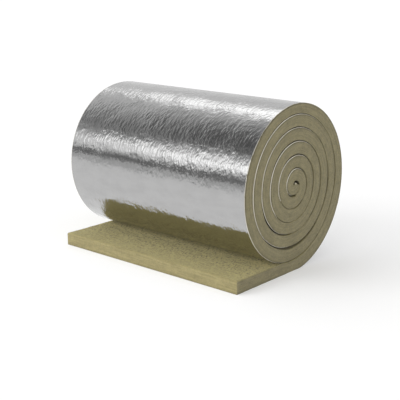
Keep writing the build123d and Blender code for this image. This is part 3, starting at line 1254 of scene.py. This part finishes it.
def foil_material(foil, winding, half_width):
    """Bright aluminium foil with the short, leaning crinkles that winding gives it."""
    material, tree, shader = new_material("bright_foil")
    across, along, _ = parts(flow(tree, "ShaderNodeUVMap", uv_map="Sheet"))
    lean = along * CRINKLE_LEAN + across

    def crinkles(width, length, detail=1.0):
        """Noise with features of that size on the sheet."""
        return noise(vector_of(tree, lean / width, along / length), 1.0, detail)

    patches = ramp(crinkles(*CRINKLED_PATCHES, 2.0), 0.36, 0.64, 0.5, 1.25)
    height = (crinkles(*FINE_CRINKLES) * FINE_SHARE + crinkles(*DASHES)) * patches
    for line, share in CRINKLE_LINES:
        height = height * ramp(abs(along - line), *CALM_LINE, share, 1.0)
    height = crinkles(*BROAD_CRINKLES) * BROAD_SHARE + height
    bump = {"Height": height, "Strength": 1.0, "Distance": SMALL_HEIGHT}

    # The scuffed edges are paler; painted shade darkens them where they face away from the flap, and so from
    # the light, and at the upper rim
    scuffed = ramp(abs(across), *(half_width - inside for inside in SCUFF))
    _, facing_back, facing_up = parts(flow(tree, "ShaderNodeTexCoord", output="Normal"))
    turned_away = ramp(facing_back, 0.0, 0.5)
    worn_edge_and_painted_shade = mix(turned_away, colour4(foil.edge_colour), colour4(foil.edge_colour, 0.3))
    radius, _ = round_the_roll(tree, winding)
    upper_rim = at_rim(radius, winding) * ramp(facing_up, -0.5, -0.15)
    worn_edge_and_painted_shade = mix(upper_rim, worn_edge_and_painted_shade, colour4(foil.edge_colour, 0.6))
    dull = ramp(crinkles(*DULL_PATCHES, 3.0), 0.35, 0.75)
    bare = mix(dull, colour4(foil.colour), colour4(foil.colour, 0.93))
    haze = ramp(crinkles(*HAZE_PATCHES, 3.0), 0.3, 0.7, 0.08, 0.14)
    finish = {
        "Base Color": mix(scuffed, bare, worn_edge_and_painted_shade),
        "Normal": flow(tree, "ShaderNodeBump", bump),
        "Roughness": scuffed * 0.35 + haze,
        "Metallic": 1.0 - scuffed * 0.75,
    }
    plug(shader, finish)
    return material


# The stage

FLOOR_TONES = (0.67, 0.69)
FLOOR_GLOW = 0.277
FLOOR_IN_FOIL = (1.13, 0.745)  # near the roll, and far off
FLOOR_FAR = (1.0, 9.0)  # from where to where the floor goes over from near to far
LEFT_OF_PICTURE = (-0.755, -0.655, 0.0)
DARKEST_SIDE = 0.05  # least share of the light from all round
SECOND_BOUNCE = 3.2  # how much brighter that light is in foil that the wool or the floor sees

# Brightness of the studio in the foil: degrees up from straight ahead of the roll's front and over the
# top, the level at the near end of the roll, and the level at its far end
STUDIO_BANDS = (
    (0, 0.60, 0.85), (3, 0.33, 0.40), (8, 0.20, 0.18), (12, 0.66, 0.50), (17, 1.60, 1.05),
    (24, 2.50, 1.25), (33, 1.80, 1.05), (39, 0.62, 0.66), (47, 0.24, 0.48), (58, 0.15, 0.42),
    (75, 0.22, 0.66), (90, 0.50, 0.86), (104, 0.80, 0.92), (111, 1.70, 0.84), (120, 2.80, 0.76),
    (129, 1.50, 0.88), (136, 0.92, 0.94), (180, 0.83, 0.85),
)
NEAR_END = (-0.74, -0.62)  # X of the way to the studio, from the far end's levels to the near end's
STOPS_OF_NEW_RAMP = 2

SENSOR_WIDTH = 36.0  # millimetres
VIEW_REACH = 500.0


def floor_material():
    """Pale floor. In the foil it is brighter near the roll and darker far off than to the camera."""
    material, tree, shader = new_material("pale_floor")
    mirrored = flow(tree, "ShaderNodeLightPath", output="Is Glossy Ray")
    place = flow(tree, "ShaderNodeTexCoord", output="Object")
    pale = mix(noise(place, 0.7), *map(grey, FLOOR_TONES))
    far = ramp(vector_calc("LENGTH", place), *FLOOR_FAR)
    finish = {
        "Base Color": mix(mirrored, pale, grey(0.0)),
        "Emission Color": mix(mirrored, grey(FLOOR_GLOW), mix(far, *map(grey, FLOOR_IN_FOIL))),
        "Emission Strength": 1.0,
        "Roughness": 1.0,
        "Specular IOR Level": 0.0,
    }
    plug(shader, finish)
    return material


def studio_world(stage):
    """Soft light from all round, brighter from the left, and the bands of light that the foil shows."""
    world = bpy.data.worlds.new("studio")
    world.use_nodes = True
    tree = world.node_tree
    tree.nodes.clear()
    look = flow(tree, "ShaderNodeTexCoord", output="Generated")
    x, y, z = parts(look)
    rise = calc("ARCTAN2", z, y * -1.0) / np.pi
    near, far = (put(tree, "ShaderNodeValToRGB", {"Fac": rise}) for _ in range(2))
    for number, (angle, *levels) in enumerate(STUDIO_BANDS):
        for bands, level in zip((near, far), levels):
            stops = bands.color_ramp.elements
            stop = stops[number] if number < STOPS_OF_NEW_RAMP else stops.new(angle / 180)
            stop.position = angle / 180
            stop.color = grey(level)
    mirrored = mix(ramp(x, *NEAR_END), Flow(far.outputs["Color"]), Flow(near.outputs["Color"]))
    left = vector_calc("DOT_PRODUCT", look, LEFT_OF_PICTURE)
    soft = calc("MAXIMUM", left * stage.dome_lean + 1.0, DARKEST_SIDE) * stage.dome_level
    soft = soft * (z * stage.dome_rise + 1.0)
    path = put(tree, "ShaderNodeLightPath").outputs
    thrown_back = calc("GREATER_THAN", Flow(path["Diffuse Depth"]), 0.5)
    mirrored = mix(thrown_back, mirrored, soft * SECOND_BOUNCE)
    colour = mix(Flow(path["Is Glossy Ray"]), soft, mirrored)
    colour = mix(Flow(path["Is Camera Ray"]), colour, grey(1.0))
    lit = flow(tree, "ShaderNodeBackground", {"Color": colour})
    put(tree, "ShaderNodeOutputWorld", {"Surface": lit})
    return world


def aimed(name, data, place, look):
    """A light or a camera at a place, looking in a direction."""
    made = add_object(name, data)
    made.location = place
    made.rotation_mode = "QUATERNION"
    made.rotation_quaternion = look.to_track_quat("-Z", "Y")
    return made


# Operators


class INSULATION_OT_stage(Operator):
    """Make the floor, the light and the camera"""

    bl_idname = "insulation.stage"
    bl_label = "Stage"

    def execute(self, context):
        stage = context.scene.insulation_stage
        half = stage.floor_size / 2
        mesh = bpy.data.meshes.new("floor")
        corners = [(-half, -half, 0), (half, -half, 0), (half, half, 0), (-half, half, 0)]
        mesh.from_pydata(corners, [], [(0, 1, 2, 3)])
        mesh.materials.append(floor_material())
        floor = add_object("floor", mesh)
        context.scene.world = studio_world(stage)
        key_place = Vector(stage.key_place)
        key = aimed("key", bpy.data.lights.new("key", "SUN"), key_place, -key_place)
        key.data.energy = stage.key_power
        key.data.angle = stage.key_spread
        key.visible_camera = False
        key.visible_glossy = False
        camera_place = Vector(stage.camera_place)
        look = Vector(stage.camera_aim) - camera_place
        camera = aimed("camera", bpy.data.cameras.new("camera"), camera_place, look)
        camera.data.lens = stage.camera_lens
        camera.data.sensor_width = SENSOR_WIDTH
        camera.data.clip_end = VIEW_REACH
        context.scene.camera = camera
        context.scene.view_settings.view_transform = "Standard"
        return {"FINISHED"}


class INSULATION_OT_wool_mat(Operator):
    """Make the mineral wool blanket"""

    bl_idname = "insulation.wool_mat"
    bl_label = "Wool mat"

    def execute(self, context):
        mat = context.scene.insulation_mat
        wool = context.scene.insulation_wool
        winding = Winding(mat)
        blanket = Blanket(mat, wool, context.scene.insulation_foil, winding)
        piece = add_object("wool", blanket.mesh())
        values = {
            "Height": wool.relief_height,
            "Grain": wool.relief_grain,
            "Material": wool_material(wool, winding, mat.width / 2),
        }
        run_tree(piece, wool_relief_tree(), values)
        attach(piece, "root")
        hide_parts("wool_mat")
        return {"FINISHED"}


class INSULATION_OT_loose_strands(Operator):
    """Scatter loose fibres over the open wool"""

    bl_idname = "insulation.loose_strands"
    bl_label = "Loose strands"

    def execute(self, context):
        wool = context.scene.insulation_wool
        piece = add_object("loose_fibres", bpy.data.objects["wool"].data.copy())
        values = {
            "Density": wool.strand_density,
            "Length": wool.strand_length,
            "Radius": wool.strand_radius,
            "Seed": STRAND_SEED,
            "Material": strand_material(wool),
        }
        run_tree(piece, strand_tree(), values)
        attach(piece, "root")
        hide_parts("wool_mat")
        return {"FINISHED"}


class INSULATION_OT_foil_facing(Operator):
    """Make the foil facing round the roll and its edges between the turns"""

    bl_idname = "insulation.foil_facing"
    bl_label = "Foil facing"

    def execute(self, context):
        mat = context.scene.insulation_mat
        foil = context.scene.insulation_foil
        winding = Winding(mat)
        helpers = foil_helpers(mat, foil, winding)
        piece = add_object("foil", bpy.data.meshes.new("foil"))
        values = {
            "Mat width": mat.width,
            "Edge fray": foil.edge_fray,
            "Crinkle height": foil.crinkle_height,
            "Crinkle width": foil.crinkle_width,
            "Crinkle length": foil.crinkle_length,
            "Calm length": mat.flap_length + CALM_PAST_LOWEST,
            "Material": foil_material(foil, winding, mat.width / 2),
        }
        run_tree(piece, foil_tree(), {**helpers, **values})
        for helper in helpers.values():
            bpy.data.curves.remove(helper.data)
        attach(piece, "root")
        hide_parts("foil_facing")
        return {"FINISHED"}


class INSULATION_PT_roll(Panel):
    """Lists the pieces of the roll and their settings"""

    bl_idname = "INSULATION_PT_roll"
    bl_label = "Insulation roll"
    bl_space_type = "VIEW_3D"
    bl_region_type = "UI"
    bl_category = "Insulation"

    def draw(self, context):
        for name, operators in PANEL_SECTIONS:
            settings = getattr(context.scene, name)
            box = self.layout.box()
            for field in settings.bl_rna.properties:
                if field.identifier not in {"rna_type", "name"}:
                    box.prop(settings, field.identifier)
            for operator in operators:
                box.operator(operator.bl_idname)


PANEL_SECTIONS = (
    ("insulation_stage", (INSULATION_OT_stage,)),
    ("insulation_mat", ()),
    ("insulation_wool", (INSULATION_OT_wool_mat, INSULATION_OT_loose_strands)),
    ("insulation_foil", (INSULATION_OT_foil_facing,)),
)

SETTINGS = {
    "insulation_mat": MatSettings,
    "insulation_wool": WoolSettings,
    "insulation_foil": FoilSettings,
    "insulation_stage": StageSettings,
}

CLASSES = (
    *SETTINGS.values(),
    INSULATION_OT_stage,
    INSULATION_OT_wool_mat,
    INSULATION_OT_loose_strands,
    INSULATION_OT_foil_facing,
    INSULATION_PT_roll,
)


def register():
    """Adds the settings, the operators and the panel."""
    for cls in CLASSES:
        bpy.utils.register_class(cls)
    for name, group in SETTINGS.items():
        setattr(bpy.types.Scene, name, PointerProperty(type=group))


def unregister():
    """Takes them out again."""
    for name in SETTINGS:
        delattr(bpy.types.Scene, name)
    for cls in reversed(CLASSES):
        bpy.utils.unregister_class(cls)


def main():
    """Makes the stage and the pieces."""
    register()
    bpy.ops.insulation.stage()
    bpy.ops.insulation.wool_mat()
    bpy.ops.insulation.loose_strands()
    bpy.ops.insulation.foil_facing()


if __name__ == "__main__":
    main()
